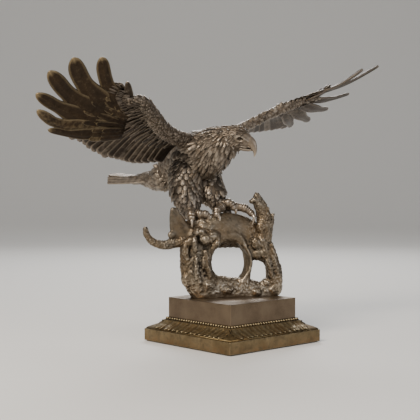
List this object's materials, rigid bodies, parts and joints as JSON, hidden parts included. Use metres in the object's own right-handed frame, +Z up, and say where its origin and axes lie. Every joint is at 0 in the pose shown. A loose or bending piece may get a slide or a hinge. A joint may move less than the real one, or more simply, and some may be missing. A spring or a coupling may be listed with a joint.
{
  "type": "bronze statuette",
  "caption": "Cast bronze eagle with raised wings on a pierced root, standing on a stepped square plinth with leaf and bead mouldings.",
  "frame": {"origin": "centre of the plinth's underside, on the felt's resting face", "axes": "+Z up, the eagle faces -Y, +X runs along the wingspan to the eagle's left wing"},
  "size_m": [0.4519, 0.262, 0.3223],
  "materials": {
    "felt": "pressed wool felt",
    "bronze_gold": "cast bronze, golden brown patina, waxed",
    "bronze_dark": "cast bronze, smooth brown patina, waxed",
    "bronze_root": "cast bronze, rough, grey-brown patina",
    "bronze_body": "cast bronze, chased, grey-brown patina",
    "bronze_light": "cast bronze, patina rubbed back to metal",
    "steel": "zinc-plated steel"
  },
  "bodies": {
    "root": {"felt_pad": "felt", "plinth_slab": "bronze_gold", "leaf_moulding": "bronze_gold", "bead_moulding": "bronze_gold", "plinth_block": "bronze_dark", "tie_bar": "steel", "tie_washers": "steel", "tie_nuts": "steel", "tie_studs": "steel", "root_trunk": "bronze_root", "root_curl": "bronze_root", "root_snag": "bronze_root", "root_pins": "steel", "right_foot": "bronze_light", "left_foot": "bronze_light", "leg_studs": "steel", "right_leg": "bronze_body", "left_leg": "bronze_body", "hip_pins": "steel", "torso": "bronze_body", "grub_screws": "steel", "head": "bronze_body", "right_wing": "bronze_body", "left_wing": "bronze_body", "tail": "bronze_body"}
  },
  "joints": []
}
